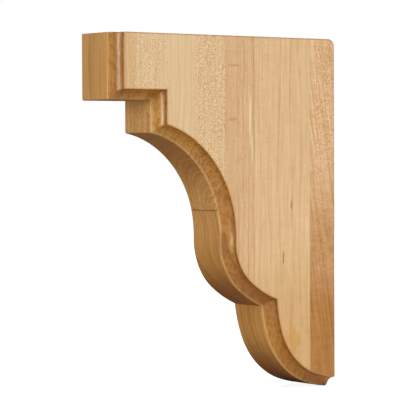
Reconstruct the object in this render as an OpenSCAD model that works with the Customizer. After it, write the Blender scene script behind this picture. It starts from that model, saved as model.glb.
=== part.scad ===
// Wooden corbel bracket: three boards glued edge to edge, sawn to a scrolled
// profile and coved along both edges of that profile.
// Frame: X across the thickness, -Y away from the wall, +Z up.
// The origin is the centre of the flat wall face, which lies on the plane Y = 0.
// Profile points are [y, z]. A heading is the direction in which the profile runs,
// in degrees turned from straight down towards the wall.

/* [Overall] */
// Height of the wall face
height = 330; // [270:1:420]
// Projection from the wall to the front of the head block
reach = 255; // [205:1:320]
// Thickness between the two flat side faces
thickness = 64; // [48:1:90]

/* [Cove] */
// Radius of the cove cut along both edges of the profile
cove_r = 12.7; // [10:0.1:16]
// Depth of the cove behind the narrow face
cove_depth = 9.3; // [6:0.1:10]

/* [Head block and step] */
// Height of the head block
block_h = 59.5; // [45:0.5:80]
// Set-back of the step behind the head block
step_back = 47; // [30:0.5:60]
// Height of the step below the head block
step_h = 29; // [22:0.5:40]

/* [Arch] */
// Radius of the hollow arch
arch_r = 96.5; // [85:0.5:120]
// Depth of the arch, from the step back to the neck
arch_reach = 78.5; // [60:0.5:84]
// Straight drop of the neck below the arch
neck_h = 6; // [2:0.5:12]

/* [Upper lobe] */
// Radius of the nose of the upper lobe
lobe_r = 56; // [44:0.5:68]
// Heading at which the nose passes into the flatter run
lobe_turn = 51; // [42:1:60]
// Radius of the flatter run
lobe_run_r = 112; // [90:1:140]
// Heading of the run where it meets the foot lobe
lobe_end = 68; // [62:1:76]

/* [Foot lobe] */
// Tightest radius of the foot lobe, less where the lobe is too small for it
foot_r = 75; // [40:0.5:90]
// Heading at the top of the foot lobe
foot_start = 6; // [2:1:10]
// Heading at which the tight turn begins
foot_in = 17; // [14:1:24]
// Heading at which the tight turn ends
foot_out = 73; // [66:1:76]
// Heading at the wall
foot_end = 84; // [80:1:88]

/* [Boards and corner] */
// Depth of the back board, from the wall to its glue line
back_board_w = 31; // [20:0.5:40]
// Depth of the middle board, between the two glue lines
middle_board_w = 101.5; // [80:0.5:110]
// Radius of the rounded corner between top and wall face
corner_r = 7; // [3:0.5:12]

/* [Hidden] */
$fn = 96;

top = height / 2;
foot = -height / 2;
spare = 30;                       // length by which a cutter runs on into the air
half = thickness / 2;
cove_out = cove_r - cove_depth;   // distance of the cove's centre in front of the narrow face

step_y = -reach + step_back;
block_z = top - block_h;
step_z = block_z - step_h;
inner_depth = 2 * cove_depth;     // depth of the rim that holds the cove
inner_y = step_y + inner_depth;   // back of the head block, inside the body behind it

// Arch: its hub lies in the open, below and in front of it
arch_hub = [step_y + arch_reach - arch_r,
            fine(step_z - sqrt(pow(arch_r, 2) - pow(arch_r - arch_reach, 2)))];
neck = [arch_hub.x + arch_r, arch_hub.y];

// Upper lobe: two arcs that run into each other
lobe_a = neck - [0, neck_h];
lobe_b = turned(lobe_a, lobe_r, 0, lobe_turn);
cusp = turned(lobe_b, lobe_run_r, lobe_turn, lobe_end);

// Foot lobe: three arcs from the cusp to the bottom of the wall face. The tight radius
// is named, and the first and last radius follow from the room between the two points.
room = [-cusp.x, cusp.y - foot];
first_arc = swept(foot_start, foot_in);
tight_arc = swept(foot_in, foot_out);
last_arc = swept(foot_out, foot_end);
tight_r = fine(min(foot_r,
                   shares(room, first_arc + tight_arc, last_arc)[0],
                   shares(room, first_arc, tight_arc + last_arc)[1]));
end_r = [for (r = shares(room - tight_r * tight_arc, first_arc, last_arc)) fine(r)];
foot_b = turned(cusp, end_r[0], foot_start, foot_in);
foot_c = turned(foot_b, tight_r, foot_in, foot_out);

glue_back = -back_board_w;
glue_front = glue_back - middle_board_w;

// A length to the thousandth of a millimetre
function fine(v) = round(1000 * v) / 1000;

// Room that an arc of radius 1 takes, towards the wall and down, between two headings
function swept(a, b) = [cos(a) - cos(b), sin(b) - sin(a)];

// Point reached from p by an arc of radius r between two headings
function turned(p, r, a, b) = p + r * [cos(a) - cos(b), sin(a) - sin(b)];

// Hub of the arc of radius r that passes p at heading a, with the wood on the hub's side
function hub(p, r, a) = p + r * [cos(a), sin(a)];

// The two radii with which arcs of unit room u and v fill the room d together
function shares(d, u, v) = [d.x * v.y - d.y * v.x, u.x * d.y - u.y * d.x] / (u.x * v.y - u.y * v.x);

// Puts what stands at the origin of the profile at p: by whole millimetres, thousandths
// and the rest, so that arcs that run into each other meet without a step
module at(p) {
    whole = [for (v = p) round(v)];
    part = [for (i = [0, 1]) fine(p[i] - whole[i])];
    translate(whole) translate(part) translate(p - whole - part) children();
}

// Stands a drawing of the profile, or a cutter along it, up in the object's frame
module upright() {
    rotate([90, 0, 90]) children();
}

module slab() {
    upright() linear_extrude(thickness, center = true) children();
}

module both_sides() {
    for (side = [-1, 1]) translate([0, 0, side * half]) children();
}

// Cove along a straight edge from p to q, with the wood on the left of the way
module straight_cove(p, q) {
    way = q - p;
    run = norm(way);
    upright() both_sides() translate(p) rotate([0, 0, atan2(way.y, way.x)])
        translate([0, -cove_out, 0]) rotate([0, 90, 0]) cylinder(h = run, r = cove_r);
}

// Cove along a rounded edge, as a whole ring about the hub of the edge's arc
module ring_cove(centre, r) {
    upright() both_sides() at(centre)
        rotate_extrude() translate([r, 0]) circle(cove_r);
}

// Inner end of the cut across the profile that leaves p square to heading a
function inset(p, a) = p + inner_depth * [cos(a), sin(a)];

// Rim of the bracket behind a bulging arc that passes p at heading a, with its cove
module rim(p, r, a, b) {
    q = turned(p, r, a, b);
    difference() {
        slab() intersection() {
            at(hub(p, r, a)) circle(r);
            polygon([inset(p, a), p - spare * [cos(a), sin(a)],
                     q - spare * [cos(b), sin(b)], inset(q, b)]);
        }
        ring_cove(hub(p, r, a), r + cove_out);
    }
}

// Head block: square front and underside
module head_block() {
    difference() {
        slab() translate([-reach, block_z]) square([inner_y + reach, block_h]);
        straight_cove([-reach, top + spare], [-reach, block_z - spare]);
        straight_cove([-reach - spare, block_z], [inner_y + spare, block_z]);
    }
}

// Step and hollow arch, down to the level of the arch's hub, with the rounded top corner
module arch_body() {
    difference() {
        slab() difference() {
            translate([step_y, arch_hub.y]) square([-step_y, top - arch_hub.y]);
            at(arch_hub) circle(arch_r);
            translate([-corner_r, top - corner_r]) difference() {
                square(corner_r + spare);
                circle(corner_r);
            }
        }
        straight_cove([step_y, top + spare], [step_y, step_z - spare]);
        ring_cove(arch_hub, arch_r - cove_out);
    }
}

// Neck and upper lobe, drawn on past the cusp inside the foot lobe
module lobe_body() {
    run_on = 90;
    low = turned(lobe_b, lobe_run_r, lobe_turn, run_on);
    difference() {
        slab() translate([neck.x, lobe_a.y]) square([-neck.x, neck_h]);
        straight_cove(neck + [0, spare], lobe_a - [0, spare]);
    }
    rim(lobe_a, lobe_r, 0, lobe_turn);
    rim(lobe_b, lobe_run_r, lobe_turn, run_on);
    slab() polygon([inset(lobe_a, 0), inset(lobe_b, lobe_turn), inset(low, run_on),
                    [0, inset(low, run_on).y], [0, lobe_a.y]]);
}

// Foot lobe, its first arc drawn on upwards past the cusp inside the upper lobe
module foot_body() {
    climb = 1.5 * inner_depth / end_r[0] * 180 / PI;
    start = foot_start - climb;
    crown = turned(cusp, end_r[0], foot_start, start);
    last = turned(foot_c, end_r[1], foot_out, foot_end);
    rim(crown, end_r[0], start, foot_in);
    rim(foot_b, tight_r, foot_in, foot_out);
    rim(foot_c, end_r[1], foot_out, foot_end + 2);
    slab() polygon([inset(crown, start), inset(foot_b, foot_in), inset(foot_c, foot_out),
                    inset(last, foot_end), [spare, inset(last, foot_end).y],
                    [spare, inset(crown, start).y]]);
}

// The bracket before it is parted at its glue lines
module whole() {
    head_block();
    arch_body();
    lobe_body();
    foot_body();
}

// Keeps what lies between two distances from the wall
module board(front, back) {
    intersection() {
        union() children();
        translate([-thickness, front, foot - spare])
            cube([2 * thickness, back - front, height + 2 * spare]);
    }
}

module front_board() {
    color("#e0bd82") board(-reach, glue_front) whole();
}

module middle_board() {
    color("#d6ae7a") board(glue_front, glue_back) whole();
}

module back_board() {
    color("#c6955f") board(glue_back, 0) whole();
}

front_board();
middle_board();
back_board();
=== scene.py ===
"""Looks of the wooden corbel bracket: three maple boards, sawn to a scroll, coved and varnished.

Everything is in metres in the part's own frame: X across the thickness, -Y away from the wall
and +Z up, with the origin at the centre of the wall face. The overall sizes and the glue lines
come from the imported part. Sizes of wood grain are in millimetres, because the materials read
the place of the wood in millimetres.
"""

import logging
import math
from dataclasses import dataclass, field, replace
from enum import Enum

import bmesh
import bpy
from mathutils import Matrix, Vector


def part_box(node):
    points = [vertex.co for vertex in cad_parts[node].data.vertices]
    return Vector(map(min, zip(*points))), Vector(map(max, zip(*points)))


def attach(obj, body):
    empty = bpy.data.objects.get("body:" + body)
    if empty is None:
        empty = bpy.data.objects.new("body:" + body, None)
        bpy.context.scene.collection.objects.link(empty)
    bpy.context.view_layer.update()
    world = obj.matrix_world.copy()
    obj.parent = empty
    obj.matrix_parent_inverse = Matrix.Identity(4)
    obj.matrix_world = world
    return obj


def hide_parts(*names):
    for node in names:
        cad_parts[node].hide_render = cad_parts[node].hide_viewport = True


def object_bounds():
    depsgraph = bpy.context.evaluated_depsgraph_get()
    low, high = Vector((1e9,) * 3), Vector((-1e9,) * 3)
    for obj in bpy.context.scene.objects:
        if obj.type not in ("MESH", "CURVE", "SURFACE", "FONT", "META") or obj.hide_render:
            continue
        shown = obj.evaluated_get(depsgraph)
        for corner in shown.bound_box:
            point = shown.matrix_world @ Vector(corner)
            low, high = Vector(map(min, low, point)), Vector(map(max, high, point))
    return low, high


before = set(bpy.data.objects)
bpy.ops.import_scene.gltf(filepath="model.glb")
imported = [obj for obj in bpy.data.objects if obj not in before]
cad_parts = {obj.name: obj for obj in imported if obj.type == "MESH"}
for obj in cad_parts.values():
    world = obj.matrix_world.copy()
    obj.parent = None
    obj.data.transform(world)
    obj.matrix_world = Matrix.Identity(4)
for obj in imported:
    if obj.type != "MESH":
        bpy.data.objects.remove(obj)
CAD_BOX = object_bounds()

LOG = logging.getLogger("corbel_bracket")
MM = 0.001
WHITE = (1.0, 1.0, 1.0, 1.0)

Span = tuple[float, float]
Triple = tuple[float, float, float]
Colour = tuple[float, float, float, float]
Socket = bpy.types.NodeSocket
Feed = float | tuple | Socket


class Board(Enum):
    """The three boards of the glued-up blank, by the names of their CAD nodes."""

    FRONT = "front_board"
    MIDDLE = "middle_board"
    BACK = "back_board"


class Skin(Enum):
    """Mesh attributes that the maple material reads."""

    COVE = "cove"
    ARRIS = "arris"


# ------------------------------------------------------------------ profile


def rounded(before: Vector, corner: Vector, after: Vector, steps: int) -> list[Vector]:
    """Draws an eased corner.

    Args:
        before: where the ease leaves the first stretch.
        corner: where the two stretches would meet.
        after: where the ease runs into the second stretch.
        steps: number of short edges in the ease.

    Returns:
        The points of the ease, both ends included.
    """
    points = []
    for step in range(steps + 1):
        gone = step / steps
        left = 1 - gone
        points.append(left**2 * before + 2 * gone * left * corner + gone**2 * after)
    return points


def spaced(start: Vector, end: Vector, steps: int, hold: float) -> list[Vector]:
    """Puts points on a straight stretch, the first and last of them close to its ends.

    Args:
        start: start of the stretch, which the list leaves out.
        end: end of the stretch, which the list leaves out.
        steps: number of edges between the two outer points.
        hold: distance of the outer points from the ends, which keeps the shading flat.

    Returns:
        The points between the two ends.
    """
    way = (end - start).normalized()
    first = start + way * hold
    last = end - way * hold
    return [first.lerp(last, step / steps) for step in range(steps + 1)]


def heading_vector(heading: float) -> Vector:
    """Unit vector across the profile, towards the wood, where it runs at a heading."""
    return Vector((math.cos(heading), math.sin(heading)))


def arc(hub: Vector, radius: float, first: float, last: float, steps: int) -> list[Vector]:
    """Puts points on an arc with the wood on the side of its hub.

    Args:
        hub: centre of the arc.
        radius: radius, or minus the radius where the wood is on the outside.
        first: heading at the start, in radians turned from straight down towards the wall.
        last: heading at the end.
        steps: number of edges.

    Returns:
        The points of the arc, both ends included.
    """
    turns = [first + (last - first) * step / steps for step in range(steps + 1)]
    return [hub - radius * heading_vector(turn) for turn in turns]


def crossing(hub_a: Vector, radius_a: float, hub_b: Vector, radius_b: float) -> Vector:
    """Finds where two circles cross, on the side away from the wall.

    Args:
        hub_a: centre of the first circle.
        radius_a: its radius.
        hub_b: centre of the second circle.
        radius_b: its radius.

    Returns:
        The crossing that is further from the wall.
    """
    way = hub_b - hub_a
    apart = way.length
    along = (radius_a**2 - radius_b**2 + apart**2) / (2 * apart)
    aside = math.sqrt(radius_a**2 - along**2)
    unit = way / apart
    square = Vector((-unit.y, unit.x))
    foot = hub_a + unit * along
    return min(foot + square * aside, foot - square * aside, key=lambda point: point.x)


@dataclass(frozen=True)
class Ring:
    """One loop round the bracket: where it lies across the thickness and how far it is cut in.

    depth is measured from the narrow faces into the wood, and trim from the top and the wall
    face. cove and arris say how much the loop lies in the cove, and on a side's eased edge.
    """

    across: float
    depth: float
    trim: float = 0.0
    cove: float = 0.0
    arris: float = 0.0


@dataclass
class CovedSection:
    """The bracket's section across its thickness: a narrow face with a cove along both edges."""

    half: float
    cove_radius: float = 12.7 * MM
    cove_depth: float = 9.3 * MM
    inner_ease: float = 1.9 * MM
    outer_ease: float = 0.9 * MM
    hold: float = 0.35 * MM
    edge_fade: float = 0.6 * MM
    ease_steps: int = 5
    cove_steps: int = 20

    @property
    def cove_out(self) -> float:
        """Distance of the cove's centre in front of the narrow face."""
        return self.cove_radius - self.cove_depth

    def in_cove(self, turn: float) -> Vector:
        """Point (across, depth) of the cove at a turn from its inner edge to its outer one."""
        swing = self.cove_radius * Vector((-math.cos(turn), math.sin(turn)))
        return Vector((self.half, -self.cove_out)) + swing

    def one_side(self) -> list[Ring]:
        """Lists the rings from the middle of the narrow face to the middle of a side face.

        Returns:
            The rings on the side of +X, starting beside the middle.
        """
        first = math.asin(self.cove_out / self.cove_radius)
        start = first + self.inner_ease / self.cove_radius
        end = math.pi / 2 - self.outer_ease / self.cove_radius
        edge = self.in_cove(first)
        before = edge - Vector((self.inner_ease, 0))
        rings = [Ring(before.x - self.hold, 0.0)]
        inner = rounded(before, edge, self.in_cove(start), self.ease_steps)
        for step, point in enumerate(inner):
            share = step / self.ease_steps
            rings.append(Ring(point.x, point.y, cove=share))
        for step in range(1, self.cove_steps):
            point = self.in_cove(start + (end - start) * step / self.cove_steps)
            rings.append(Ring(point.x, point.y, cove=1.0))
        corner = Vector((self.half, self.cove_depth))
        after = corner + Vector((0, self.outer_ease))
        outer = rounded(self.in_cove(end), corner, after, self.ease_steps)
        for step, point in enumerate(outer):
            share = step / self.ease_steps
            trim = self.outer_ease * share**2
            rings.append(Ring(point.x, point.y, trim, 1 - share, share))
        rings.append(Ring(self.half, after.y + self.edge_fade, self.outer_ease + self.edge_fade))
        return rings

    def rings(self) -> list[Ring]:
        """Lists all rings.

        Returns:
            The rings from the side face of -X to the one of +X.
        """
        side = self.one_side()
        other = [replace(ring, across=-ring.across) for ring in reversed(side)]
        return other + [Ring(0.0, 0.0)] + side


@dataclass
class ScrollProfile:
    """The bracket's outline, seen from its side, which each ring follows at its own depth.

    Points are (y, z). Headings are in degrees turned from straight down towards the wall. Steps
    are numbers of edges.
    """

    front: float
    wall: float
    foot: float
    top: float
    head_height: float = 59.5 * MM
    step_back: float = 47 * MM
    step_height: float = 29 * MM
    arch_radius: float = 96.5 * MM
    arch_reach: float = 78.5 * MM
    neck_height: float = 6 * MM
    nose_radius: float = 56 * MM
    nose_turn: float = 51
    run_radius: float = 112 * MM
    run_end: float = 68
    foot_radius: float = 75 * MM
    foot_turns: tuple[float, float, float, float] = (6, 17, 73, 84)
    back_corner: float = 7 * MM
    ease: float = 1.3 * MM
    hold: float = 0.35 * MM
    nicks: tuple[float, ...] = (15.5 * MM, 52.5 * MM, 126 * MM)
    nick_depth: float = 0.5 * MM
    nick_reach: float = 1.6 * MM
    ease_steps: int = 5
    block_steps: int = 8
    under_steps: int = 6
    step_steps: int = 5
    arch_steps: int = 56
    nose_steps: int = 26
    run_steps: int = 10
    foot_steps: tuple[int, int, int] = (8, 32, 8)
    wall_steps: int = 6
    shoulder_steps: int = 2
    corner_steps: int = 12
    top_steps: int = 8

    def __post_init__(self) -> None:
        """Works out the hubs of the arcs and the points where the arcs join."""
        self.step_y = self.front + self.step_back
        self.head_z = self.top - self.head_height
        step_z = self.head_z - self.step_height
        rise = math.sqrt(self.arch_radius**2 - (self.arch_radius - self.arch_reach) ** 2)
        arch_hub_y = self.step_y + self.arch_reach - self.arch_radius
        self.arch_hub = Vector((arch_hub_y, step_z - rise))
        self.nose_top = self.arch_hub + Vector((self.arch_radius, -self.neck_height))
        self.nose_hub = self.nose_top + Vector((self.nose_radius, 0))
        run_start = self.swept(self.nose_top, self.nose_radius, 0, self.nose_turn)
        self.run_hub = self.hub(run_start, self.run_radius, self.nose_turn)
        cusp = self.swept(run_start, self.run_radius, self.nose_turn, self.run_end)
        start, tight, loose = self.foot_turns[:3]
        self.end_radii = self.foot_end_radii(cusp)
        join_a = self.swept(cusp, self.end_radii[0], start, tight)
        join_b = self.swept(join_a, self.foot_radius, tight, loose)
        self.foot_hubs = (
            self.hub(cusp, self.end_radii[0], start),
            self.hub(join_a, self.foot_radius, tight),
            self.hub(join_b, self.end_radii[1], loose),
        )

    def hub(self, point: Vector, radius: float, heading: float) -> Vector:
        """Hub of the arc that passes a point at a heading in degrees."""
        return point + radius * heading_vector(math.radians(heading))

    def swept(self, point: Vector, radius: float, first: float, last: float) -> Vector:
        """Point that an arc reaches from another point, between two headings in degrees."""
        return self.hub(point, radius, first) - radius * heading_vector(math.radians(last))

    def foot_end_radii(self, cusp: Vector) -> tuple[float, float]:
        """Finds the radii of the foot's first and last arc, which fill the room they share.

        Args:
            cusp: point where the two lobes meet.

        Returns:
            The radius above the tight turn and the one below it.
        """
        start, tight, loose, end = self.foot_turns
        origin = Vector((0, 0))
        first = self.swept(origin, 1.0, start, tight)
        last = self.swept(origin, 1.0, loose, end)
        middle = self.swept(origin, self.foot_radius, tight, loose)
        room = Vector((self.wall, self.foot)) - cusp - middle
        share = first.x * last.y - first.y * last.x
        above = (room.x * last.y - room.y * last.x) / share
        below = (first.x * room.y - first.y * room.x) / share
        return above, below

    def head(self, depth: float, trim: float) -> list[Vector]:
        """Outline of the head block and the step, from the top down to the arch.

        Args:
            depth: how far the ring lies behind the narrow faces.
            trim: how far it lies below the top.

        Returns:
            The points, up to the start of the arch.
        """
        ease = self.ease
        down = Vector((0, -1))
        back = Vector((1, 0))
        upper = Vector((self.front + depth, self.top - trim))
        lower = Vector((self.front + depth, self.head_z + depth))
        inner = Vector((self.step_y + depth, self.head_z + depth))
        radius = self.arch_radius + depth
        turn = math.acos((self.step_y + depth - self.arch_hub.x) / radius)
        brow = self.arch_hub + radius * heading_vector(turn)
        over = self.arch_hub + radius * heading_vector(turn - ease / radius)
        points = rounded(upper + back * ease, upper, upper + down * ease, self.ease_steps)
        points += spaced(points[-1], lower - down * ease, self.block_steps, self.hold)
        points += rounded(lower - down * ease, lower, lower + back * ease, self.ease_steps)
        points += spaced(points[-1], inner, self.under_steps, self.hold)
        points.append(inner)
        points += spaced(inner, brow - down * ease, self.step_steps, self.hold)
        points += rounded(brow - down * ease, brow, over, self.ease_steps)
        return points

    def scroll(self, depth: float, trim: float) -> list[Vector]:
        """Outline of the arch, the neck and the two lobes.

        Args:
            depth: how far the ring lies behind the narrow faces.
            trim: how far it lies in front of the wall face.

        Returns:
            The points, from the arch to the eased corner at the wall.
        """
        radius = self.arch_radius + depth
        turn = math.acos((self.step_y + depth - self.arch_hub.x) / radius)
        points = arc(self.arch_hub, -radius, turn - 2 * self.ease / radius, 0, self.arch_steps)
        nose_turn = math.radians(self.nose_turn)
        points += arc(self.nose_hub, self.nose_radius - depth, 0, nose_turn, self.nose_steps)
        run = self.run_radius - depth
        radii = (self.end_radii[0], self.foot_radius, self.end_radii[1])
        above, tight, below = (radius - depth for radius in radii)
        cusp = crossing(self.run_hub, run, self.foot_hubs[0], above)
        to_run = self.run_hub - cusp
        to_foot = self.foot_hubs[0] - cusp
        run_end = math.atan2(to_run.y, to_run.x)
        points += arc(self.run_hub, run, nose_turn, run_end, self.run_steps)[1:]
        first, second = (math.radians(heading) for heading in self.foot_turns[1:3])
        start = math.atan2(to_foot.y, to_foot.x)
        above_steps, tight_steps, below_steps = self.foot_steps
        points += arc(self.foot_hubs[0], above, start, first, above_steps)[1:]
        points += arc(self.foot_hubs[1], tight, first, second, tight_steps)[1:]
        end = math.acos((self.foot_hubs[2].x - self.wall + trim) / below)
        last = end - self.ease / below
        points += arc(self.foot_hubs[2], below, second, last, below_steps)[1:]
        toe = self.foot_hubs[2] - below * heading_vector(end)
        points += rounded(points.pop(), toe, toe + Vector((0, self.ease)), self.ease_steps)
        return points

    def back(self, trim: float, arris: float, heel: Vector) -> list[Vector]:
        """Outline of the wall face, the rounded corner and the top.

        Args:
            trim: how far the ring lies inside the wall face and the top.
            arris: how much the ring feels the small nicks in the edge.
            heel: last point of the scroll, at the foot of the wall face.

        Returns:
            The points, from the wall face to the front of the top.
        """
        wall = self.wall - trim
        radius = self.back_corner - trim
        hub = Vector((self.wall - self.back_corner, self.top - self.back_corner))
        first = Vector((wall, self.nicks[0] - self.nick_reach))
        points = spaced(heel, first, self.wall_steps, self.hold)
        for height in self.nicks:
            points.append(Vector((wall - self.nick_depth * arris, height)))
            points.append(Vector((wall, height + self.nick_reach)))
        points += spaced(points[-1], Vector((wall, hub.y)), self.shoulder_steps, self.hold)
        for step in range(self.corner_steps + 1):
            turn = math.pi / 2 * step / self.corner_steps
            points.append(hub + radius * Vector((math.cos(turn), math.sin(turn))))
        return points

    def outline(self, ring: Ring) -> list[Vector]:
        """Draws the closed outline of one ring, against the clock as seen from +X.

        Args:
            ring: the ring, with its depth and trim.

        Returns:
            The points in order, with the same number of them for every ring.
        """
        points = self.head(ring.depth, ring.trim) + self.scroll(ring.depth, ring.trim)
        points += self.back(ring.trim, ring.arris, points[-1])
        points += spaced(points[-1], points[0], self.top_steps, self.hold)
        return points

    def creases(self) -> tuple[int, int]:
        """Finds the corners of the outline where the shading stays sharp.

        Returns:
            The numbers of the points at the step's inner corner and at the cusp.
        """
        eased = 2 * (self.ease_steps + 1)
        inner = eased + (self.block_steps + 1) + (self.under_steps + 1)
        arch_and_nose = (self.arch_steps + 1) + (self.nose_steps + 1)
        cusp = len(self.head(0.0, 0.0)) + arch_and_nose + self.run_steps - 1
        return inner, cusp

    def heel(self) -> int:
        """Number of the outline's first point on the wall face; the top ends the outline."""
        return len(self.head(0.0, 0.0)) + len(self.scroll(0.0, 0.0))


# ------------------------------------------------------------------ boards


@dataclass
class CarvedBracket:
    """The whole bracket as one carved mesh, which is parted at its glue lines.

    cove_arris says how much of an eased edge's tone the coved edges take, and snap how near to a
    saw cut a point lies on it.
    """

    profile: ScrollProfile
    section: CovedSection
    cove_arris: float = 0.6
    snap: float = 1e-7

    def carve(self) -> bmesh.types.BMesh:
        """Extrudes the outline from one side face to the other and moves each ring to its depth.

        Returns:
            A closed mesh with the cove and edge attributes on its points.
        """
        mesh = bmesh.new()
        layers = {skin: mesh.verts.layers.float.new(skin.value) for skin in Skin}
        rings = self.section.rings()
        heel = self.profile.heel()
        start = self.profile.outline(rings[0])
        verts = [mesh.verts.new((rings[0].across, point.x, point.y)) for point in start]
        pairs = zip(verts, verts[1:] + verts[:1])
        edges = [mesh.edges.new(pair) for pair in pairs]
        bmesh.ops.contextual_create(mesh, geom=edges)
        place = {vert: number for number, vert in enumerate(verts)}
        for ring in rings[1:]:
            points = self.profile.outline(ring)
            grown = bmesh.ops.extrude_edge_only(mesh, edges=edges)["geom"]
            new = [item for item in grown if isinstance(item, bmesh.types.BMVert)]
            fresh = {vert: place[self.root(vert, place)] for vert in new}
            for vert, number in fresh.items():
                vert.co = (ring.across, points[number].x, points[number].y)
                plain = number >= heel
                vert[layers[Skin.COVE]] = 0.0 if plain else ring.cove
                vert[layers[Skin.ARRIS]] = ring.arris * (1.0 if plain else self.cove_arris)
            edges = [
                item
                for item in grown
                if isinstance(item, bmesh.types.BMEdge) and fresh.keys() >= set(item.verts)
            ]
            self.crease(mesh, fresh, place)
            place = fresh
        bmesh.ops.contextual_create(mesh, geom=edges)
        bmesh.ops.recalc_face_normals(mesh, faces=mesh.faces)
        return mesh

    def root(self, vert: bmesh.types.BMVert, place: dict) -> bmesh.types.BMVert:
        """The point of the last ring that a new point was extruded from."""
        others = (edge.other_vert(vert) for edge in vert.link_edges)
        return next(other for other in others if other in place)

    def crease(self, mesh: bmesh.types.BMesh, fresh: dict, place: dict) -> None:
        """Keeps the shading sharp along the step's inner corner and the cusp.

        Args:
            mesh: the mesh being carved; not used.
            fresh: numbers of the new ring's points.
            place: numbers of the last ring's points.
        """
        creases = self.profile.creases()
        for vert, number in fresh.items():
            if number in creases:
                for edge in vert.link_edges:
                    if edge.other_vert(vert) in place:
                        edge.smooth = False

    def saw(self, whole: bmesh.types.BMesh, front: float, back: float) -> bmesh.types.BMesh:
        """Cuts one board out of the bracket.

        Args:
            whole: the carved bracket.
            front: distance of the board's front along Y.
            back: distance of its back along Y.

        Returns:
            The board, closed where it was cut.
        """
        board = whole.copy()
        for place, away in ((front, -1.0), (back, 1.0)):
            cut = bmesh.ops.bisect_plane(
                board,
                geom=board.verts[:] + board.edges[:] + board.faces[:],
                dist=self.snap,
                plane_co=(0.0, place, 0.0),
                plane_no=(0.0, away, 0.0),
                clear_outer=True,
            )
            rim = [item for item in cut["geom_cut"] if isinstance(item, bmesh.types.BMEdge)]
            open_rim = [edge for edge in rim if edge.is_boundary]
            if open_rim:
                bmesh.ops.holes_fill(board, edges=open_rim, sides=0)
                for edge in open_rim:
                    edge.smooth = False
        bmesh.ops.recalc_face_normals(board, faces=board.faces)
        return board


# ------------------------------------------------------------------ node groups


def tone(code: str) -> Colour:
    """Turns a colour code such as "#d6ae7a" into the linear colour that a shader takes.

    Args:
        code: the colour as it looks on a screen.

    Returns:
        Red, green, blue and an alpha of 1.
    """
    parts = [int(code[start : start + 2], 16) / 255 for start in (1, 3, 5)]
    dark = [part / 12.92 for part in parts]
    light = [((part + 0.055) / 1.055) ** 2.4 for part in parts]
    linear = [low if part <= 0.04045 else high for part, low, high in zip(parts, dark, light)]
    return (*linear, 1.0)


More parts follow.
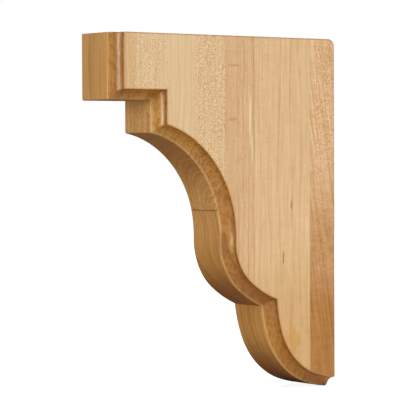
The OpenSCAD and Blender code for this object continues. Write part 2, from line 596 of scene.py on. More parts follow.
class Bench:
    """A node tree under construction, with short words for the nodes that wood needs."""

    COLUMNS = 12
    PITCH = (180, -220)

    def __init__(self, tree: bpy.types.NodeTree) -> None:
        """Starts on an empty tree."""
        self.tree = tree
        self.tree.nodes.clear()

    def node(self, kind: str, *fed: Feed, **settings: object) -> bpy.types.Node:
        """Adds a node.

        Args:
            kind: type of the node.
            fed: what its inputs get, in their order.
            settings: properties to set on it.

        Returns:
            The node.
        """
        made = self.tree.nodes.new(kind)
        row, column = divmod(len(self.tree.nodes), self.COLUMNS)
        made.location = (column * self.PITCH[0], row * self.PITCH[1])
        for name, value in settings.items():
            setattr(made, name, value)
        for socket, value in zip(made.inputs, fed):
            self.feed(socket, value)
        return made

    def feed(self, socket: Socket, value: Feed) -> None:
        """Links a socket to another one, or sets it to a plain value.

        Args:
            socket: the input.
            value: an output, a number, a vector or a colour.
        """
        if isinstance(value, Socket):
            self.tree.links.new(value, socket)
        else:
            socket.default_value = value

    def fill(self, made: bpy.types.Node, values: dict[str, Feed]) -> bpy.types.Node:
        """Feeds a node's inputs by their names.

        Args:
            made: the node.
            values: what the inputs get.

        Returns:
            The same node.
        """
        for name, value in values.items():
            self.feed(made.inputs[name], value)
        return made

    def maths(self, operation: str, *values: Feed) -> Socket:
        """Result of one sum on plain numbers."""
        return self.node("ShaderNodeMath", *values, operation=operation).outputs[0]

    def vectors(self, operation: str, *values: Feed) -> Socket:
        """Result of one sum on vectors; a length comes out as a number."""
        made = self.node("ShaderNodeVectorMath", *values, operation=operation)
        return made.outputs["Value" if operation == "LENGTH" else "Vector"]

    def times(self, *values: Feed) -> Socket:
        """Multiplies numbers with each other.

        Args:
            values: the numbers.

        Returns:
            The product.
        """
        product, *others = values
        for value in others:
            product = self.maths("MULTIPLY", product, value)
        return product

    def rest(self, mask: Feed) -> Socket:
        """What a mask leaves over."""
        return self.maths("SUBTRACT", 1.0, mask)

    def split(self, vector: Feed) -> list[Socket]:
        """X, Y and Z of a vector."""
        return list(self.node("ShaderNodeSeparateXYZ", vector).outputs)

    def join(self, *parts: Feed) -> Socket:
        """Vector with this X, Y and Z."""
        return self.node("ShaderNodeCombineXYZ", *parts).outputs[0]

    def stretch(self, place: Socket, across: Feed, along: Feed) -> Socket:
        """Place divided by a size across the grain, in X and Y, and one along it, in Z."""
        return self.vectors("DIVIDE", place, self.join(across, across, along))

    def ramp(
        self, value: Feed, low: Feed, high: Feed, start: Feed = 0.0, end: Feed = 1.0
    ) -> Socket:
        """Makes a smooth step.

        Args:
            value: what drives the step.
            low: value where it begins.
            high: value where it is done.
            start: result up to the low value.
            end: result from the high value.

        Returns:
            The result.
        """
        made = self.node("ShaderNodeMapRange", interpolation_type="SMOOTHSTEP")
        ends = {"From Min": low, "From Max": high, "To Min": start, "To Max": end}
        return self.fill(made, {"Value": value, **ends}).outputs["Result"]

    def noise(self, place: Feed, detail: float = 2.0, rough: float = 0.5) -> bpy.types.Node:
        """Noise with one wave to each unit of place; rough says how strong the finer waves are."""
        waves = {"Vector": place, "Scale": 1.0, "Detail": detail, "Roughness": rough}
        return self.fill(self.node("ShaderNodeTexNoise"), waves)

    def mix(self, amount: Feed, first: Feed, second: Feed, blend: str = "MIX") -> Socket:
        """Mixes two colours.

        Args:
            amount: share of the second colour.
            first: the first colour.
            second: the second colour.
            blend: how the second lies on the first.

        Returns:
            The mixed colour.
        """
        made = self.node("ShaderNodeMix", data_type="RGBA", blend_type=blend)
        self.feed(made.inputs["Factor"], amount)
        colours = [socket for socket in made.inputs if socket.type == "RGBA"]
        self.feed(colours[0], first)
        self.feed(colours[1], second)
        return next(socket for socket in made.outputs if socket.type == "RGBA")

    def group(self, tree: bpy.types.NodeTree, **values: Feed) -> bpy.types.Node:
        """Node of a group, with its inputs by their names in small letters."""
        made = self.node("ShaderNodeGroup", node_tree=tree)
        return self.fill(made, {name.capitalize(): value for name, value in values.items()})

    def mask(self, tree: bpy.types.NodeTree, **values: Feed) -> Socket:
        """First output of a node group that is placed with these inputs."""
        return self.group(tree, **values).outputs[0]


@dataclass(frozen=True)
class Figure:
    """How the wood's figure is drawn: sizes are (across, along) in millimetres, spans (low, high)."""

    streak_rough: float = 0.62
    streak_span: Span = (0.26, 0.74)
    slow_drift: Span = (90.0, 260.0)
    quick_drift: Span = (14.0, 60.0)
    tremble: float = 0.16
    bunch_rate: float = 0.37
    bunch_shift: float = 2.6
    weakest_ring: float = 0.25
    line_rise: Span = (0.84, 0.955)
    line_fall: Span = (0.97, 1.0)
    band_fall: Span = (0.96, 1.0)
    fleck_bend: float = 0.9
    fleck_lens: Span = (0.34, 0.62)
    fleck_pick: float = 0.3
    fleck_clouds: Span = (6.0, 16.0)
    fleck_span: Span = (0.34, 0.6)
    fleck_least: float = 0.3
    light_shift: Triple = (37.0, 51.0, 23.0)
    light_share: float = 0.6
    seam_route: Triple = (0.02, 1.0, 0.012)
    seam_spread: float = 0.37
    seam_clouds: Span = (9.0, 34.0)
    seam_span: Span = (0.3, 0.6)
    seam_least: float = 0.3
    rag_size: Span = (3.0, 14.0)
    patch_span: Span = (0.45, 1.15)


class WoodGroups:
    """The node groups that all maple in the bracket shares."""

    def __init__(self, figure: Figure) -> None:
        """Builds each group once.

        Args:
            figure: how the wood's figure is drawn.
        """
        self.figure = figure
        self.streaks = self.make_streaks()
        self.rings = self.make_rings()
        self.flecks = self.make_flecks()
        self.strip = self.make_strip()
        self.patch = self.make_patch()
        self.seam = self.make_seam()

    def start(
        self, name: str, vectors: str, numbers: str, masks: str
    ) -> tuple[Bench, list[Socket]]:
        """Starts a group.

        Args:
            name: the group's name.
            vectors: names of its inputs that are vectors.
            numbers: names of its inputs that are numbers.
            masks: names of its outputs.

        Returns:
            The bench and the inputs, in the order of their names.
        """
        tree = bpy.data.node_groups.new(name, "ShaderNodeTree")
        for names, way, kind in (
            (vectors, "INPUT", "NodeSocketVector"),
            (numbers, "INPUT", "NodeSocketFloat"),
            (masks, "OUTPUT", "NodeSocketFloat"),
        ):
            for label in names.split():
                tree.interface.new_socket(label, in_out=way, socket_type=kind)
        bench = Bench(tree)
        given = bench.node("NodeGroupInput").outputs
        return bench, [given[label] for label in vectors.split() + numbers.split()]

    def close(self, bench: Bench, *masks: Socket) -> bpy.types.NodeTree:
        """Group that puts out these masks, in the order of its outputs."""
        bench.node("NodeGroupOutput", *masks)
        return bench.tree

    def make_streaks(self) -> bpy.types.NodeTree:
        """Builds fibre streaks: noise drawn out along the grain, or across it for a curly figure.

        Returns:
            The group. It puts out the shade of the streaks.
        """
        names = ("fibre streaks", "Place", "Across Along", "Shade")
        bench, (place, across, along) = self.start(*names)
        drawn = bench.stretch(place, across, along)
        streaks = bench.noise(drawn, detail=3.0, rough=self.figure.streak_rough)
        return self.close(bench, bench.ramp(streaks.outputs[0], *self.figure.streak_span))

    def make_rings(self) -> bpy.types.NodeTree:
        """Builds growth rings about an upright pith.

        Returns:
            The group. It puts out a thin dark line and a soft band to each ring.
        """
        figure = self.figure
        names = ("growth rings", "Place Pith", "Spacing Wander", "Line Band")
        bench, (place, pith, spacing, wander) = self.start(*names)
        drifts = []
        for size in (figure.slow_drift, figure.quick_drift):
            drift = bench.noise(bench.stretch(place, *size)).outputs["Color"]
            drifts.append(bench.vectors("SUBTRACT", drift, (0.5, 0.5, 0.5)))
        tremble = bench.vectors("MULTIPLY", drifts[1], (figure.tremble,) * 3)
        push = bench.vectors("ADD", drifts[0], tremble)
        moved = bench.vectors("ADD", place, bench.vectors("MULTIPLY", push, wander))
        away = bench.vectors("MULTIPLY", bench.vectors("SUBTRACT", moved, pith), (1.0, 1.0, 0.0))
        count = bench.maths("DIVIDE", bench.vectors("LENGTH", away), spacing)
        bunch = bench.node("ShaderNodeTexNoise", noise_dimensions="1D")
        bench.fill(bunch, {"W": count, "Scale": figure.bunch_rate})
        count = bench.maths("MULTIPLY_ADD", bunch.outputs[0], figure.bunch_shift, count)
        part = bench.maths("FRACT", count)
        rank = bench.node("ShaderNodeTexWhiteNoise", noise_dimensions="1D")
        bench.fill(rank, {"W": bench.maths("FLOOR", count)})
        least = figure.weakest_ring
        share = bench.maths("MULTIPLY_ADD", rank.outputs["Value"], 1.0 - least, least)
        rise = bench.ramp(part, *figure.line_rise)
        line = bench.times(rise, bench.ramp(part, *figure.line_fall, 1.0, 0.0), share)
        band = bench.times(part, bench.ramp(part, *figure.band_fall, 1.0, 0.0), share)
        return self.close(bench, line, band)

    def make_flecks(self) -> bpy.types.NodeTree:
        """Builds ray flecks: short lens-shaped marks along the grain, scattered unevenly.

        Returns:
            The group. It puts out the mask of the flecks.
        """
        figure = self.figure
        names = ("ray flecks", "Place", "Width Length Density", "Mask")
        bench, (place, width, length, density) = self.start(*names)
        drawn = bench.stretch(place, width, length)
        bend = bench.noise(drawn, detail=1.0).outputs["Color"]
        bend = bench.vectors("MULTIPLY", bend, (figure.fleck_bend,) * 3)
        cells = bench.node("ShaderNodeTexVoronoi", feature="F1")
        bench.fill(cells, {"Vector": bench.vectors("ADD", drawn, bend), "Scale": 1.0})
        lens = bench.ramp(cells.outputs["Distance"], *figure.fleck_lens, 1.0, 0.0)
        pick = bench.node("ShaderNodeSeparateColor", cells.outputs["Color"])
        least = bench.rest(density)
        kept = bench.ramp(pick.outputs[0], least, bench.maths("ADD", least, figure.fleck_pick))
        return self.close(bench, bench.times(lens, kept))

    def make_strip(self) -> bpy.types.NodeTree:
        """Builds a strip between two values, with soft edges.

        Returns:
            The group. It puts out the mask of the strip.
        """
        names = ("strip", "", "Value Start End Soft", "Mask")
        bench, (value, start, end, soft) = self.start(*names)
        rises = []
        for edge in (start, end):
            low = bench.maths("SUBTRACT", edge, soft)
            rises.append(bench.ramp(value, low, bench.maths("ADD", edge, soft)))
        return self.close(bench, bench.times(rises[0], bench.rest(rises[1])))

    def make_seam(self) -> bpy.types.NodeTree:
        """Builds one upright growth line that wanders sideways and fades in places.

        Returns:
            The group. It puts out the mask of the line.
        """
        figure = self.figure
        names = ("grain line", "Place", "Start Wander Width", "Mask")
        bench, (place, start, wander, width) = self.start(*names)
        x, y, z = bench.split(bench.vectors("MULTIPLY", place, figure.seam_route))
        route = bench.join(x, bench.times(start, figure.seam_spread), z)
        sway = bench.maths("SUBTRACT", bench.noise(route, detail=3.0).outputs[0], 0.5)
        off = bench.maths("SUBTRACT", bench.maths("SUBTRACT", y, start), bench.times(sway, wander))
        line = bench.ramp(bench.maths("ABSOLUTE", off), 0.0, width, 1.0, 0.0)
        clouds = bench.noise(bench.stretch(place, *figure.seam_clouds)).outputs[0]
        seen = bench.ramp(clouds, *figure.seam_span, figure.seam_least, 1.0)
        return self.close(bench, bench.times(line, seen))

    def make_patch(self) -> bpy.types.NodeTree:
        """Builds a ragged patch about a point, such as a mineral streak or a stain.

        Returns:
            The group. It puts out the mask of the patch.
        """
        names = ("patch", "Place Centre Reach", "Ragged", "Mask")
        bench, (place, centre, reach, ragged) = self.start(*names)
        away = bench.vectors("DIVIDE", bench.vectors("SUBTRACT", place, centre), reach)
        rag = bench.noise(bench.stretch(place, *self.figure.rag_size), detail=3.0).outputs[0]
        shift = bench.maths("SUBTRACT", rag, 0.5)
        far = bench.maths("MULTIPLY_ADD", shift, ragged, bench.vectors("LENGTH", away))
        return self.close(bench, bench.ramp(far, *self.figure.patch_span, 1.0, 0.0))


# ------------------------------------------------------------------ maple


@dataclass(frozen=True)
class Tint:
    """A strip of the board that has another colour: ends in Y and in Z, in millimetres."""

    start: float
    end: float
    colour: str
    amount: float
    soft: float = 3.0
    low: float = -400.0
    high: float = 400.0
    fade: float = 20.0
    faces_only: float = 0.0


@dataclass(frozen=True)
class FleckStrip:
    """A strip with ray flecks: ends in Y, in millimetres, and the flecks' size and number."""

    start: float
    end: float
    amount: float
    density: float
    width: float = 0.8
    length: float = 1.5
    soft: float = 5.0
    low: float = -400.0
    fade: float = 20.0


@dataclass(frozen=True)
class Mark:
    """A mineral streak, a stain or a painted highlight, with its middle and reach in millimetres."""

    centre: Triple
    reach: Triple
    colour: str
    amount: float
    ragged: float = 0.8


@dataclass(frozen=True)
class Seam:
    """One growth line that stands out: its distance from the wall, wander and width."""

    start: float
    wander: float
    width: float
    amount: float
    colour: str = "#c47a48"


@dataclass(frozen=True)
class GrowthLines:
    """The growth rings of a board: where its pith lay, and how wide and strong its rings are."""

    pith: Triple
    spacing: float
    wander: float
    line: float
    band: float


@dataclass(frozen=True)
class MapleFinish:
    """The figure and colour of one varnished maple board.

    Fibres and curl have a width across the grain and a length along it, in millimetres. lean and
    slant say how far the grain tips in Y and in X for each millimetre of height.
    """

    pale: str
    deep: str
    line: str
    fleck: str
    rings: GrowthLines
    fibre: float
    tints: tuple[Tint, ...]
    flecks: tuple[FleckStrip, ...]
    seams: tuple[Seam, ...] = ()
    marks: tuple[Mark, ...] = ()
    light: str = "#f7e6c8"
    curl: float = 0.05
    curl_size: Span = (14.0, 4.5)
    broad_width: float = 2.8
    broad_length: float = 150.0
    fine_width: float = 0.9
    fine_length: float = 42.0
    lean: float = 0.0
    slant: float = 0.0


@dataclass(frozen=True)
class Varnish:
    """The clear satin finish on all boards, the tones of the ways the wood is cut, and the painted
    shade and highlights of the coves and lobes.

    Zones are (low, high) in Z in millimetres, and spans (low, high) of what drives a mask. The cove
    tint is the routed cut's warmer tone with painted shade and bounce light of the hollow, and the
    under tint adds painted bounce light to the coves' end grain. The shade patches and the
    turned-away shade are painted shade in the coves, the lobe shade is painted shade on the lobes'
    narrow faces, and the edge highlight is a painted highlight along the coves' inner edges.
    """

    face_rough: float = 0.46
    cove_rough: float = 0.36
    raw_rough: float = 0.8
    fibre_rough: float = 0.1
    face_coat: float = 0.06
    cove_coat: float = 0.36
    coat_rough: float = 0.18
    bump: float = 0.06
    bump_depth: float = 0.2 * MM
    pooling: float = 130.0
    pool_size: Span = (3.4, 5.0)
    side_span: Span = (0.55, 0.98)
    wall_span: Span = (0.8, 0.97)
    end_span: Span = (0.25, 0.9)
    # Painted shade patches in the coves: span of the varnish noise and strength.
    shade_patch_span: Span = (0.44, 0.6)
    shade_patch_share: float = 0.65
    # Painted shade on the lobes' narrow faces: its zone in Z, soft edge and strength.
    lobe_shade_zone: Span = (-90.0, -22.0)
    lobe_shade_soft: float = 18.0
    lobe_shade_share: float = 0.6
    # Painted shade where the coves turn away from the sides: span of sideways facing and strength.
    turned_away_span: Span = (0.0, 0.32)
    turned_away_share: float = 0.6
    # Painted highlight along the coves' inner edges: its zone in Z, its strength below and above the
    # zone, and its patchy span.
    edge_highlight_zone: Span = (98.0, 104.0)
    edge_highlight_below: float = 1.5
    edge_highlight_above: float = 0.4
    edge_highlight_span: Span = (0.35, 0.6)
    edge_highlight_least: float = 0.6
    pore_size: float = 1.1
    pore_share: float = 0.36
    cove_pores: float = 0.4
    ring_share: float = 0.45
    glue_span: Span = (0.05, 0.32)
    glue_side: float = 0.25
    glue_narrow: float = 0.3
    arris_share: float = 0.55
    raw_share: float = 0.7
    amber: str = "#edd8a9"
    # Warmer tone of the routed coves, with painted shade and bounce light of the hollow.
    cove_tone_and_shade: str = "#e7dba8"
    end_tint: str = "#cdb690"
    # End grain in the coves, made more orange by painted bounce light.
    cove_end_and_bounce_tint: str = "#fff0a6"
    # Colour of the painted shade patches in the coves.
    shade_patch_tint: str = "#e2c68c"
    # Colour of the painted shade on the lobes.
    lobe_shade_tint: str = "#e2d8b4"
    # Colour of the painted shade where the coves turn away.
    turned_away_shade_tint: str = "#bd9152"
    # Colour of the painted highlight along the coves' inner edges.
    edge_highlight: str = "#e8c48e"
    edge: str = "#9a642f"
    raw: str = "#cda577"
    glue: str = "#5d3516"


@dataclass
class MapleMaterial:
    """Builds the material of one board."""

    board: Board
    finish: MapleFinish
    varnish: Varnish
    groups: WoodGroups
    glue_lines: tuple[float, ...]
    bench: Bench = field(init=False)
    place: Socket = field(init=False)
    grain: Socket = field(init=False)
    y: Socket = field(init=False)
    z: Socket = field(init=False)
    facing: list[Socket] = field(init=False)
    cove: Socket = field(init=False)
    arris: Socket = field(init=False)
    side: Socket = field(init=False)
    pooled: Socket = field(init=False)

    def make(self) -> bpy.types.Material:
        """Builds the material's nodes.

        Returns:
            The finished material.
        """
        material = bpy.data.materials.new(f"maple_{self.board.value}")
        material.use_nodes = True
        self.bench = Bench(material.node_tree)
        bench = self.bench
        varnish = self.varnish
        self.read_place()
        self.read_surface()
        finish = self.finish
        fine = bench.mask(
            self.groups.streaks,
            place=self.grain,
            across=finish.fine_width,
            along=finish.fine_length,
        )
        growth = finish.rings
        rings = bench.group(
            self.groups.rings,
            place=self.grain,
            pith=growth.pith,
            spacing=growth.spacing,
            wander=growth.wander,
        )
        colour = self.cuts(self.wood(fine, rings), rings)
        raw = bench.ramp(self.facing[1], *varnish.wall_span)
        colour = bench.mix(bench.times(raw, varnish.raw_share), colour, tone(varnish.raw))
        relief = bench.maths("SUBTRACT", fine, rings.outputs["Line"])
        sags = bench.times(self.pooled, bench.times(self.cove, varnish.pooling))
        bumps = {
            "Strength": varnish.bump,
            "Distance": varnish.bump_depth,
            "Height": bench.maths("ADD", relief, sags),
        }
        bump = bench.fill(bench.node("ShaderNodeBump"), bumps)
        shader = bench.node("ShaderNodeBsdfPrincipled", colour)
        bench.fill(shader, {"Normal": bump.outputs["Normal"], **self.gloss(fine, raw)})
        bench.node("ShaderNodeOutputMaterial", shader.outputs[0])
        return material

    def read_place(self) -> None:
        """Reads the place in millimetres, plain and leant over with the grain."""
        bench = self.bench
        where = bench.node("ShaderNodeTexCoord").outputs["Object"]
        self.place = bench.vectors("MULTIPLY", where, (1 / MM, 1 / MM, 1 / MM))
        x, self.y, self.z = bench.split(self.place)
        across = bench.maths("MULTIPLY_ADD", self.z, self.finish.slant, x)
        leant = bench.maths("MULTIPLY_ADD", self.z, self.finish.lean, self.y)
        self.grain = bench.join(across, leant, self.z)

    def read_surface(self) -> None:
        """Reads which way the surface faces, how it was cut, and the noise of the uneven varnish,
        which also lays painted shade patches.
        """
        bench = self.bench
        varnish = self.varnish
        self.facing = bench.split(bench.node("ShaderNodeTexCoord").outputs["Normal"])
        self.cove, self.arris = (
            bench.node("ShaderNodeAttribute", attribute_name=skin.value).outputs["Fac"]
            for skin in (Skin.COVE, Skin.ARRIS)
        )
        sideways = bench.ramp(bench.maths("ABSOLUTE", self.facing[0]), *varnish.side_span)
        self.side = bench.times(sideways, bench.rest(self.cove))
        pools = bench.stretch(self.place, *varnish.pool_size)
        self.pooled = bench.noise(pools, detail=3.0).outputs[0]

    def shade(self, darker: str) -> Colour:
        """Tone that turns the board's pale wood into a darker colour when multiplied."""
        pale = tone(self.finish.pale)
        return tuple(down / full for down, full in zip(tone(darker), pale))

    def strip(self, value: Socket, start: float, end: float, soft: float) -> Socket:
        """Mask of a strip between two values."""
        return self.bench.mask(self.groups.strip, value=value, start=start, end=end, soft=soft)

    def wood(self, fine: Socket, rings: bpy.types.Node) -> Socket:
        """Colours the board by its fibres, rings, strips, flecks and marks.

        Args:
            fine: shade of the finest fibres.
            rings: the growth ring node.

        Returns:
            The colour of the wood under a clear finish.
        """
        bench = self.bench
        finish = self.finish
        colour = tone(finish.pale)
        for tint in finish.tints:
            across = self.strip(self.y, tint.start, tint.end, tint.soft)
            along = self.strip(self.z, tint.low, tint.high, tint.fade)
            share = bench.maths("MULTIPLY_ADD", self.side, tint.faces_only, 1.0 - tint.faces_only)
            amount = bench.times(across, along, share, tint.amount)
            colour = bench.mix(amount, colour, tone(tint.colour))
        streaks = self.groups.streaks
        width = finish.broad_width
        broad = bench.mask(streaks, place=self.grain, across=width, along=finish.broad_length)
        width, length = finish.curl_size
        curl = bench.mask(streaks, place=self.place, across=width, along=length)
        depth = bench.times(fine, finish.fibre)
        depth = bench.maths("MULTIPLY_ADD", broad, finish.fibre, depth)
        depth = bench.maths("MULTIPLY_ADD", curl, finish.curl, depth)
        depth = bench.maths("MULTIPLY_ADD", rings.outputs["Band"], finish.rings.band, depth)
        colour = bench.mix(depth, colour, self.shade(finish.deep), "MULTIPLY")
        line = bench.times(rings.outputs["Line"], finish.rings.line)
        colour = bench.mix(line, colour, self.shade(finish.line), "MULTIPLY")
        for seam in finish.seams:
            colour = self.seamed(colour, seam)
        for strip in finish.flecks:
            colour = self.flecked(colour, strip)
        for mark in finish.marks:
            colour = self.marked(colour, mark)
        return colour

    def seamed(self, colour: Socket, seam: Seam) -> Socket:
        """Adds one growth line that stands out.

        Args:
            colour: the colour so far.
            seam: the line.

        Returns:
            The colour with the line.
        """
        line = self.bench.mask(
            self.groups.seam,
            place=self.place,
            start=seam.start,
            wander=seam.wander,
            width=seam.width,
        )
        amount = self.bench.times(line, seam.amount, self.side)
        return self.bench.mix(amount, colour, self.shade(seam.colour), "MULTIPLY")

    def marked(self, colour: Socket, mark: Mark) -> Socket:
        """Adds one streak, stain or painted highlight.

        Args:
            colour: the colour so far.
            mark: the mark.

        Returns:
            The colour with the mark.
        """
        patch = self.bench.mask(
            self.groups.patch,
            place=self.place,
            centre=mark.centre,
            reach=mark.reach,
            ragged=mark.ragged,
        )
        return self.bench.mix(self.bench.times(patch, mark.amount), colour, tone(mark.colour))

    def flecked(self, colour: Socket, strip: FleckStrip) -> Socket:
        """Adds one strip of ray flecks, some lighter and some darker than the wood.

        Args:
            colour: the colour so far.
            strip: the strip's place and the flecks in it.

        Returns:
            The colour with the flecks.
        """
        bench = self.bench
        figure = self.groups.figure
        where = self.strip(self.y, strip.start, strip.end, strip.soft)
        above = bench.ramp(self.z, strip.low - strip.fade, strip.low + strip.fade)
        clouds = bench.noise(bench.stretch(self.place, *figure.fleck_clouds)).outputs[0]
        patchy = bench.ramp(clouds, *figure.fleck_span, figure.fleck_least, 1.0)
        amount = bench.times(where, above, patchy, strip.amount)
        bent = bench.vectors("ADD", self.place, figure.light_shift)
        light = (bent, self.finish.light, figure.light_share)
        dark = (self.place, self.finish.fleck, 1.0)
        for spot, ink, strength in (light, dark):
            flecks = bench.mask(
                self.groups.flecks,
                place=spot,
                width=strip.width,
                length=strip.length,
                density=strip.density,
            )
            colour = bench.mix(bench.times(flecks, amount, strength), colour, tone(ink))
        return colour

    def cuts(self, colour: Socket, rings: bpy.types.Node) -> Socket:
        """Tones the wood by the way it was cut: glue lines, narrow faces, coves and end grain, and
        paints shade and highlights into the coves and shade onto the lobes.

        Args:
            colour: the colour of the wood.
            rings: the growth ring node.

        Returns:
            The colour under the varnish, with the painted shade and highlights.
        """
        bench = self.bench
        varnish = self.varnish
        cove = self.cove
        narrow = bench.rest(self.side)
        end = bench.ramp(bench.maths("ABSOLUTE", self.facing[2]), *varnish.end_span)
        under = bench.times(end, cove)
        bare_end = bench.maths("SUBTRACT", end, under)
        # Painted shade: darker patches across the coves, following the varnish noise.
        shade_patches = bench.ramp(self.pooled, *varnish.shade_patch_span)
        # Painted shade: a darker band on the narrow faces of the lobes, from Z -90 to -22 mm.
        lobe_shade = self.strip(self.z, *varnish.lobe_shade_zone, varnish.lobe_shade_soft)
        sideways = bench.maths("ABSOLUTE", self.facing[0])
        # Painted shade: darker where a cove faces away from the sides, towards its outer edge.
        outer = bench.ramp(sideways, *varnish.turned_away_span, varnish.turned_away_share, 0.0)
        pores = bench.mask(
            self.groups.streaks,
            place=self.place,
            across=varnish.pore_size,
            along=varnish.pore_size,
        )
        open_grain = bench.maths("MAXIMUM", bench.times(cove, varnish.cove_pores), bare_end)
        # Painted highlight: a light line along each cove's inner edge, weaker from Z 104 mm up and
        # broken up by the varnish noise.
        edge_highlight = bench.times(
            bench.times(cove, bench.rest(cove)),
            bench.ramp(self.z, *varnish.edge_highlight_zone, varnish.edge_highlight_below, varnish.edge_highlight_above),
            bench.ramp(self.pooled, *varnish.edge_highlight_span, varnish.edge_highlight_least, 1.0),
        )
        tones = (
            (narrow, varnish.amber),
            # The coves' own warmer tone, with painted shade and bounce light of the hollow.
            (cove, varnish.cove_tone_and_shade),
            (bare_end, varnish.end_tint),
            # End grain in the coves, made more orange by painted bounce light.
            (under, varnish.cove_end_and_bounce_tint),
            (bench.times(shade_patches, cove, varnish.shade_patch_share), varnish.shade_patch_tint),
            (bench.times(lobe_shade, narrow, varnish.lobe_shade_share), varnish.lobe_shade_tint),
            (bench.times(outer, cove), varnish.turned_away_shade_tint),
        )
        for mask, tint in tones:
            colour = bench.mix(mask, colour, tone(tint), "MULTIPLY")
        colour = bench.mix(edge_highlight, colour, tone(varnish.edge_highlight))
        pitted = bench.times(pores, open_grain, varnish.pore_share)
        ringed = bench.times(rings.outputs["Band"], narrow, varnish.ring_share)
        for mask in (pitted, ringed):
            colour = bench.mix(mask, colour, tone(varnish.edge), "MULTIPLY")
        strength = bench.maths("MULTIPLY_ADD", narrow, varnish.glue_narrow, varnish.glue_side)
        for line in self.glue_lines:
            off = bench.maths("ABSOLUTE", bench.maths("SUBTRACT", self.y, line))
            joint = bench.times(bench.ramp(off, *varnish.glue_span, 1.0, 0.0), strength)
            colour = bench.mix(joint, colour, tone(varnish.glue))
        return bench.mix(bench.times(self.arris, varnish.arris_share), colour, tone(varnish.edge))

    def gloss(self, fine: Socket, raw: Socket) -> dict[str, Feed]:
        """Works out the gloss of the clear finish, which the wall face goes without.

        Args:
            fine: shade of the finest fibres.
            raw: how much the place lies on the bare wall face.

        Returns:
            What the shader's inputs get.
        """
        bench = self.bench
        varnish = self.varnish
        rough = bench.maths("MULTIPLY_ADD", fine, varnish.fibre_rough, varnish.face_rough)
        gain = varnish.cove_rough - varnish.face_rough
        rough = bench.maths("MULTIPLY_ADD", self.cove, gain, rough)
        gain = varnish.cove_coat - varnish.face_coat
        coat = bench.maths("MULTIPLY_ADD", self.cove, gain, varnish.face_coat)
        return {
            "Roughness": bench.ramp(raw, 0.0, 1.0, rough, varnish.raw_rough),
            "Coat Weight": bench.ramp(raw, 0.0, 1.0, coat, 0.0),
            "Coat Roughness": varnish.coat_rough,
        }


# ------------------------------------------------------------------ assembly


def placed(name: str, data: bpy.types.ID) -> bpy.types.Object:
    """Puts a mesh, a light or a camera into the scene.

    Args:
        name: name of the object.
        data: what it shows.

    Returns:
        The object.
    """
    item = bpy.data.objects.new(name, data)
    bpy.context.scene.collection.objects.link(item)
    return item


def meshed(name: str, mesh: bmesh.types.BMesh) -> bpy.types.Object:
    """Puts a finished mesh into the scene.

    Args:
        name: name of the object and its mesh.
        mesh: the shape in its place, which is freed.

    Returns:
        The object.
    """
    data = bpy.data.meshes.new(name)
    mesh.to_mesh(data)
    mesh.free()
    return placed(name, data)


@dataclass
class GluedBoards:
    """The bracket's three boards, carved, parted and varnished."""

    finishes: dict[Board, MapleFinish]
    varnish: Varnish = Varnish()
    figure: Figure = Figure()

    def __post_init__(self) -> None:
        """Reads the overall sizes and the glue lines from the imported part."""
        low, high = CAD_BOX
        self.profile = ScrollProfile(front=low[1], wall=high[1], foot=low[2], top=high[2])
        self.section = CovedSection(half=(high[0] - low[0]) / 2)
        boxes = {board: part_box(board.value) for board in Board}
        self.spans = {board: (box[0].y, box[1].y) for board, box in boxes.items()}
        self.glue_lines = self.spans[Board.MIDDLE]

    def build(self) -> list[bpy.types.Object]:
        """Makes the three boards.

        Returns:
            The boards' objects, from the front to the wall.
        """
        bracket = CarvedBracket(self.profile, self.section)
        whole = bracket.carve()
        groups = WoodGroups(self.figure)
        lines = tuple(line / MM for line in self.glue_lines)
        boards = []
        for board in Board:
            front, back = self.spans[board]
            piece = meshed(f"maple_{board.value}", bracket.saw(whole, front, back))
            for polygon in piece.data.polygons:
                polygon.use_smooth = True
            material = MapleMaterial(board, self.finishes[board], self.varnish, groups, lines)
            piece.data.materials.append(material.make())
            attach(piece, "root")
            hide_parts(board.value)
            LOG.info("%s: %d faces", piece.name, len(piece.data.polygons))
            boards.append(piece)
        whole.free()
        return boards


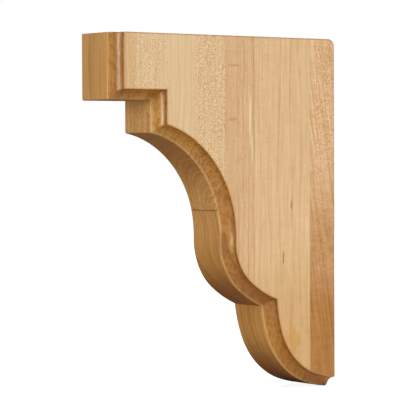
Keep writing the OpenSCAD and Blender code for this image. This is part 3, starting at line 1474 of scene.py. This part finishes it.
FINISHES = {
    Board.FRONT: MapleFinish(
        pale="#e6cba4",
        deep="#cba477",
        line="#b0804e",
        fleck="#c5803f",
        rings=GrowthLines(pith=(20.0, -116.0, 0.0), spacing=2.7, wander=9.0, line=0.34, band=0.16),
        fibre=0.34,
        tints=(
            Tint(-260.0, -233.0, "#dcba8e", 0.8),
            Tint(-198.0, -166.0, "#e9d0a8", 0.8),
        ),
        marks=(
            Mark((-27.0, -255.0, 118.0), (1.6, 8.0, 26.0), "#b07f4c", 0.55),
            Mark((-6.0, -255.0, 132.0), (1.3, 8.0, 34.0), "#b88a56", 0.4),
            Mark((9.0, -255.0, 126.0), (1.8, 8.0, 30.0), "#b88a56", 0.35),
            # Painted highlights: broken glints in the step's cove.
            Mark((27.0, -202.0, 88.0), (2.2, 5.0, 13.0), "#f4e6cc", 0.7, 2.4),
            Mark((20.5, -206.0, 90.0), (1.3, 4.0, 18.0), "#f4e6cc", 0.5, 2.0),
        ),
        flecks=(
            FleckStrip(-238.0, -196.0, 0.8, 0.6),
            FleckStrip(-168.0, -126.0, 1.0, 0.75),
        ),
        slant=0.03,
    ),
    Board.MIDDLE: MapleFinish(
        pale="#e9c99f",
        deep="#cba274",
        line="#b07f4c",
        fleck="#b9793c",
        rings=GrowthLines(pith=(-62.0, -58.0, 0.0), spacing=4.3, wander=22.0, line=0.1, band=0.07),
        fibre=0.36,
        broad_length=60.0,
        fine_length=24.0,
        tints=(
            Tint(-140.0, -99.0, "#e0bb92", 0.75, soft=2.0),
            Tint(-37.5, -20.0, "#e8cb98", 0.7, soft=1.0, low=-160.0, high=-35.0),
            Tint(-140.0, -20.0, "#dbb37e", 0.7, low=-400.0, high=-60.0, fade=40.0),
        ),
        flecks=(
            FleckStrip(-124.0, -66.0, 0.6, 0.2, width=2.6, length=0.5, low=10.0),
            FleckStrip(-124.0, -100.0, 0.4, 0.4, width=0.7, length=9.0),
        ),
        seams=(
            Seam(-99.0, 0.6, 0.9, 0.45, "#a8743f"),
            Seam(-91.0, 12.0, 0.8, 0.3),
            Seam(-80.0, 15.0, 0.8, 0.3),
            Seam(-68.0, 10.0, 1.0, 0.42),
            Seam(-54.0, 14.0, 1.1, 0.42),
            Seam(-43.0, 14.0, 1.0, 0.38),
            Seam(-106.0, 6.0, 0.7, 0.4),
            Seam(-111.0, 10.0, 0.9, 0.5),
            Seam(-118.0, 10.0, 0.9, 0.45),
        ),
        marks=(
            Mark((32.0, -122.0, 138.0), (18.0, 7.5, 1.3), "#b58052", 0.5, 1.6),
            Mark((32.0, -124.0, 89.0), (18.0, 6.5, 1.8), "#b58052", 0.45, 1.6),
            Mark((32.0, -103.5, 92.0), (18.0, 2.4, 24.0), "#fae8c8", 0.42, 1.4),
            Mark((32.0, -101.2, 64.0), (18.0, 1.2, 18.0), "#fae8c8", 0.42, 1.2),
            Mark((32.0, -54.0, 9.5), (18.0, 1.1, 5.5), "#a0683a", 0.7),
            Mark((32.0, -64.0, -39.0), (18.0, 1.1, 8.0), "#a05f2e", 0.75),
            # Painted highlight: broken glints in the neck's cove.
            Mark((27.0, -121.0, -24.0), (2.4, 7.0, 17.0), "#f0e2c8", 0.75, 2.2),
            Mark((32.0, -52.0, -119.0), (30.0, 10.0, 16.0), "#c9903f", 0.6, 2.4),
        ),
        curl=0.14,
    ),
    Board.BACK: MapleFinish(
        pale="#f6dab4",
        deep="#cb9a68",
        line="#955f2e",
        fleck="#bd763a",
        light="#f4dcb4",
        rings=GrowthLines(pith=(-30.0, 40.0, 0.0), spacing=3.0, wander=10.0, line=0.24, band=0.16),
        fibre=0.46,
        tints=(
            Tint(-40.0, 10.0, "#cfa06a", 0.9, low=-400.0, high=10.0, fade=50.0, faces_only=0.6),
            Tint(-40.0, 10.0, "#c3914f", 0.95, low=-400.0, high=-72.0, fade=18.0, faces_only=0.85),
        ),
        flecks=(
            FleckStrip(-27.0, 5.0, 0.5, 0.7, low=-62.0, fade=16.0),
            FleckStrip(-27.0, 5.0, 0.65, 0.75, low=36.0, fade=40.0),
        ),
        curl=0.26,
        broad_length=70.0,
        lean=0.17,
    ),
}


# ------------------------------------------------------------------ studio


@dataclass
class Softbox:
    """A square studio light that faces the bracket."""

    name: str
    place: Triple
    width: float
    height: float
    power: float
    colour: str = "#ffffff"

    def hang(self, aim: Vector) -> None:
        """Creates the light.

        Args:
            aim: where it points.
        """
        lamp = bpy.data.lights.new(self.name, "AREA")
        lamp.shape = "RECTANGLE"
        lamp.size = self.width
        lamp.size_y = self.height
        lamp.energy = self.power
        lamp.color = tone(self.colour)[:3]
        holder = placed(self.name, lamp)
        holder.location = self.place
        holder.rotation_euler = (aim - Vector(self.place)).to_track_quat("-Z", "Y").to_euler()


@dataclass
class Studio:
    """A pale floor in an even white room, with soft lights and the camera.

    Lengths are in metres, the lens in millimetres and the angles in degrees. The camera sees the
    floor and the room brighter than the light that they send to the bracket.
    """

    floor_radius: float = 9.0
    floor_sides: int = 96
    fill: float = 0.36
    glow: float = 0.9
    matt: float = 0.3
    floor_bounce: str = "#7a756f"
    card_bounce: str = "#f2ecd6"
    card_gap: float = 0.02
    card_width: float = 1.4
    card_length: float = 1.3
    card_middle: float = -0.1
    card_thickness: float = 0.0003
    sensor: float = 36.0
    focal: float = 175.58
    camera_place: Triple = (1.4659, -1.2886, 0.0674)
    azimuth: float = 51.627
    pitch: float = -1.833
    roll: float = -0.252
    softboxes: tuple[Softbox, ...] = (
        Softbox("side_softbox", (2.2, -0.3, 1.9), 1.8, 1.8, 53.0),
        Softbox("front_softbox", (0.13, -2.3, 0.27), 0.8, 0.85, 19.5, "#fffaea"),
        Softbox("back_softbox", (-2.3, 1.5, 1.6), 1.8, 1.8, 55.0),
    )

    def room(self) -> None:
        """Fills the room with even white light; the camera sees plain white."""
        world = bpy.data.worlds.new("studio_room")
        world.use_nodes = True
        bench = Bench(world.node_tree)
        bpy.context.scene.world = world
        seen = bench.node("ShaderNodeLightPath").outputs["Is Camera Ray"]
        strength = bench.maths("MULTIPLY_ADD", seen, 1.0 - self.fill, self.fill)
        back = bench.node("ShaderNodeBackground", WHITE, strength)
        bench.node("ShaderNodeOutputWorld", back.outputs[0])

    def paint(self, name: str, bounce: str) -> bpy.types.Material:
        """Makes a matt white that the camera sees as plain pale floor.

        Args:
            name: name of the material.
            bounce: how light it is to the light that it sends back to the bracket.

        Returns:
            The material.
        """
        material = bpy.data.materials.new(name)
        material.use_nodes = True
        bench = Bench(material.node_tree)
        seen = bench.node("ShaderNodeLightPath").outputs["Is Camera Ray"]
        matt = (self.matt, self.matt, self.matt, 1.0)
        paint = bench.node("ShaderNodeBsdfDiffuse", bench.mix(seen, tone(bounce), matt))
        glow = bench.node("ShaderNodeEmission", WHITE, bench.times(seen, self.glow))
        both = bench.node("ShaderNodeAddShader", paint.outputs[0], glow.outputs[0])
        bench.node("ShaderNodeOutputMaterial", both.outputs[0])
        return material

    def lay(self, name: str, mesh: bmesh.types.BMesh, bounce: str) -> None:
        """Lays a flat piece of the studio down.

        Args:
            name: its name.
            mesh: its shape, in its place.
            bounce: how light it is to the bracket.
        """
        piece = meshed(name, mesh)
        piece.data.materials.append(self.paint(f"{name}_white", bounce))

    def floor(self, height: float) -> None:
        """Lays the pale floor, and a white card on it beside the bracket.

        Args:
            height: height of the card's top, level with the bracket's lowest point.
        """
        disc = bmesh.new()
        sides = self.floor_sides
        bmesh.ops.create_circle(disc, cap_ends=True, segments=sides, radius=self.floor_radius)
        bmesh.ops.translate(disc, verts=disc.verts, vec=(0.0, 0.0, height - self.card_thickness))
        self.lay("floor", disc, self.floor_bounce)
        card = bmesh.new()
        bmesh.ops.create_grid(card, x_segments=1, y_segments=1, size=0.5)
        bmesh.ops.scale(card, verts=card.verts, vec=(self.card_width, self.card_length, 1.0))
        shift = (self.card_gap + self.card_width / 2, self.card_middle, height)
        bmesh.ops.translate(card, verts=card.verts, vec=shift)
        self.lay("white_card", card, self.card_bounce)

    def camera(self) -> None:
        """Sets the camera up at its viewing angle."""
        lens = bpy.data.cameras.new("camera")
        lens.lens = self.focal
        lens.sensor_width = self.sensor
        holder = placed("camera", lens)
        turn = Matrix.Rotation(math.radians(self.azimuth), 4, "Z")
        tilt = Matrix.Rotation(math.radians(90.0 + self.pitch), 4, "X")
        lean = Matrix.Rotation(math.radians(self.roll), 4, "Z")
        holder.matrix_world = Matrix.Translation(self.camera_place) @ turn @ tilt @ lean
        bpy.context.scene.camera = holder

    def build(self, low: Vector, high: Vector) -> None:
        """Builds the room, the floor under the bracket, the lights and the camera.

        Args:
            low: lowest corner of the bracket.
            high: highest corner of the bracket.
        """
        self.room()
        self.floor(low[2])
        for softbox in self.softboxes:
            softbox.hang((low + high) / 2)
        self.camera()
        bpy.context.scene.view_settings.view_transform = "Standard"


def main() -> None:
    logging.basicConfig(level=logging.INFO, format="%(name)s: %(message)s")
    boards = GluedBoards(finishes=FINISHES).build()
    LOG.info("%d boards made", len(boards))
    low, high = (Vector(corner) for corner in CAD_BOX)
    Studio().build(low, high)
    LOG.info("studio ready")


if __name__ == "__main__":
    main()
